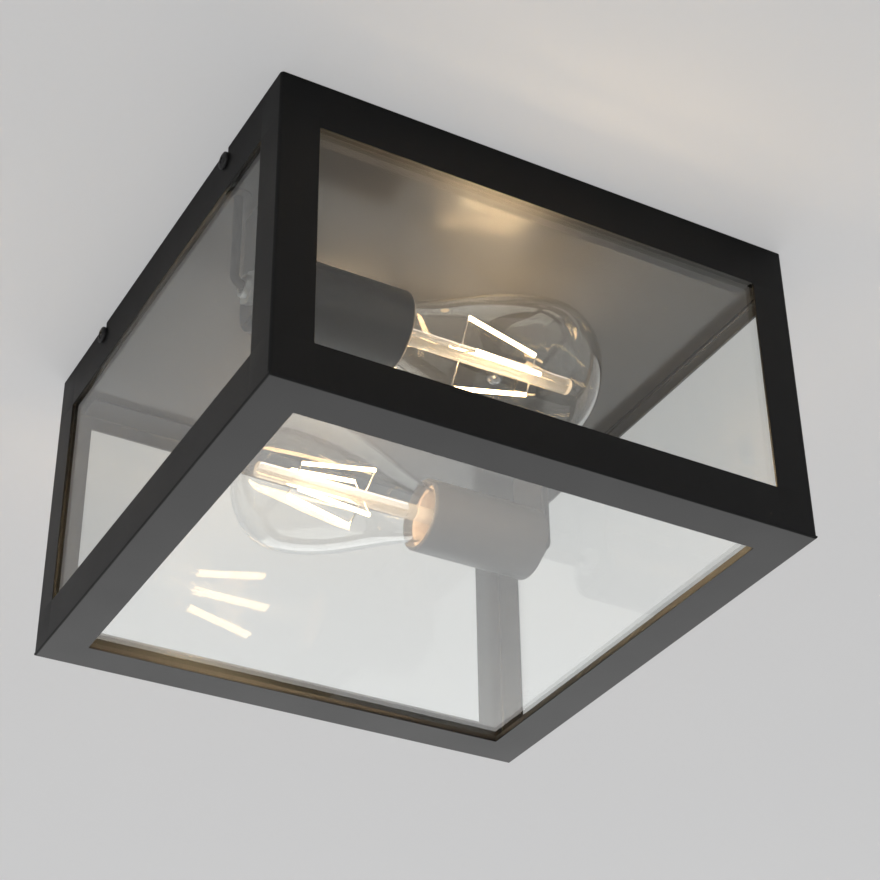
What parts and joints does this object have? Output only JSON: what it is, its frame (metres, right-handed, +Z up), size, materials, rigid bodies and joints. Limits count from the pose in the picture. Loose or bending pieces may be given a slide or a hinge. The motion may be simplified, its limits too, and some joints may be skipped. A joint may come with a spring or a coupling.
{
  "type": "porch ceiling lantern",
  "caption": "Flush square porch ceiling lantern: a black glazed metal cage under a grey ceiling pan, with clear filament bulbs lying in side-mounted lampholders.",
  "frame": {"origin": "middle of the top of the mounting bar, on the ceiling", "axes": "+Z up into the ceiling, +X along the bulbs, +Y across them"},
  "size_m": [0.2542, 0.25, 0.151],
  "materials": {
    "cage_paint": "satin black powder coat",
    "pan_metal": "satin grey sheet steel",
    "zinc_steel": "zinc plated",
    "bright_steel": "nickel plated",
    "terminal_plastic": "matte off-white",
    "brass": "plain",
    "black_rubber": "matte black",
    "pane_glass": "clear, polished",
    "holder_paint": "satin dark grey",
    "porcelain": "glazed porcelain",
    "lead_sleeve": "woven glass sleeve",
    "bulb_glass": "clear",
    "cap_metal": "satin",
    "cap_base": "black glass",
    "stem_glass": "clear",
    "filament": "yellow phosphor",
    "screw_black": "black, semi-gloss"
  },
  "bodies": {
    "pan": {"bracket_rivets": "bright_steel", "ceiling_pan": "pan_metal", "dome_nuts": "bright_steel", "earth_screw": "brass", "lamp_1_bracket": "holder_paint", "lamp_1_contact": "brass", "lamp_1_insulator": "porcelain", "lamp_1_lead": "lead_sleeve", "lamp_1_sleeve": "holder_paint", "lamp_1_socket": "brass", "lamp_2_bracket": "holder_paint", "lamp_2_contact": "brass", "lamp_2_insulator": "porcelain", "lamp_2_lead": "lead_sleeve", "lamp_2_sleeve": "holder_paint", "lamp_2_socket": "brass", "lead_grommets": "black_rubber", "mounting_bar": "zinc_steel", "mounting_studs": "zinc_steel", "nipple_nuts": "zinc_steel", "nipples": "zinc_steel", "terminal_block": "terminal_plastic", "terminal_screws": "brass", "weld_nuts": "zinc_steel"},
    "cage": {"bottom_pane": "pane_glass", "bottom_rail_back": "cage_paint", "bottom_rail_front": "cage_paint", "bottom_rail_left": "cage_paint", "bottom_rail_right": "cage_paint", "bottom_seal": "black_rubber", "glass_stop_back": "cage_paint", "glass_stop_front": "cage_paint", "pane_back": "pane_glass", "pane_front": "pane_glass", "pane_left": "pane_glass", "pane_right": "pane_glass", "post_back_left": "cage_paint", "post_back_right": "cage_paint", "post_front_left": "cage_paint", "post_front_right": "cage_paint", "top_rail_back": "cage_paint", "top_rail_front": "cage_paint", "top_rail_left": "cage_paint", "top_rail_right": "cage_paint"},
    "screw_left_front": {"cage_screw_left_front": "screw_black"},
    "screw_left_back": {"cage_screw_left_back": "screw_black"},
    "screw_right_front": {"cage_screw_right_front": "screw_black"},
    "screw_right_back": {"cage_screw_right_back": "screw_black"},
    "bulb_1": {"bulb_1_glass": "bulb_glass", "bulb_1_cap": "cap_metal", "bulb_1_base": "cap_base", "bulb_1_stem": "stem_glass", "bulb_1_filaments": "filament", "bulb_1_wires": "bright_steel"},
    "bulb_2": {"bulb_2_glass": "bulb_glass", "bulb_2_cap": "cap_metal", "bulb_2_base": "cap_base", "bulb_2_stem": "stem_glass", "bulb_2_filaments": "filament", "bulb_2_wires": "bright_steel"}
  },
  "joints": [
    {"name": "cage_drop", "type": "slide", "parent": "pan", "child": "cage", "axis": [0, 0, -1], "range_m": [0, 0.12]},
    {"name": "loosen_left_front", "type": "slide", "parent": "pan", "child": "screw_left_front", "axis": [-1, 0, 0], "range_m": [0, 0.003]},
    {"name": "loosen_left_back", "type": "slide", "parent": "pan", "child": "screw_left_back", "axis": [-1, 0, 0], "range_m": [0, 0.003]},
    {"name": "loosen_right_front", "type": "slide", "parent": "pan", "child": "screw_right_front", "axis": [1, 0, 0], "range_m": [0, 0.003]},
    {"name": "loosen_right_back", "type": "slide", "parent": "pan", "child": "screw_right_back", "axis": [1, 0, 0], "range_m": [0, 0.003]},
    {"name": "bulb_1_out", "type": "slide", "parent": "pan", "child": "bulb_1", "axis": [1, 0, 0], "range_m": [0, 0.045]},
    {"name": "bulb_2_out", "type": "slide", "parent": "pan", "child": "bulb_2", "axis": [-1, 0, 0], "range_m": [0, 0.045]}
  ]
}
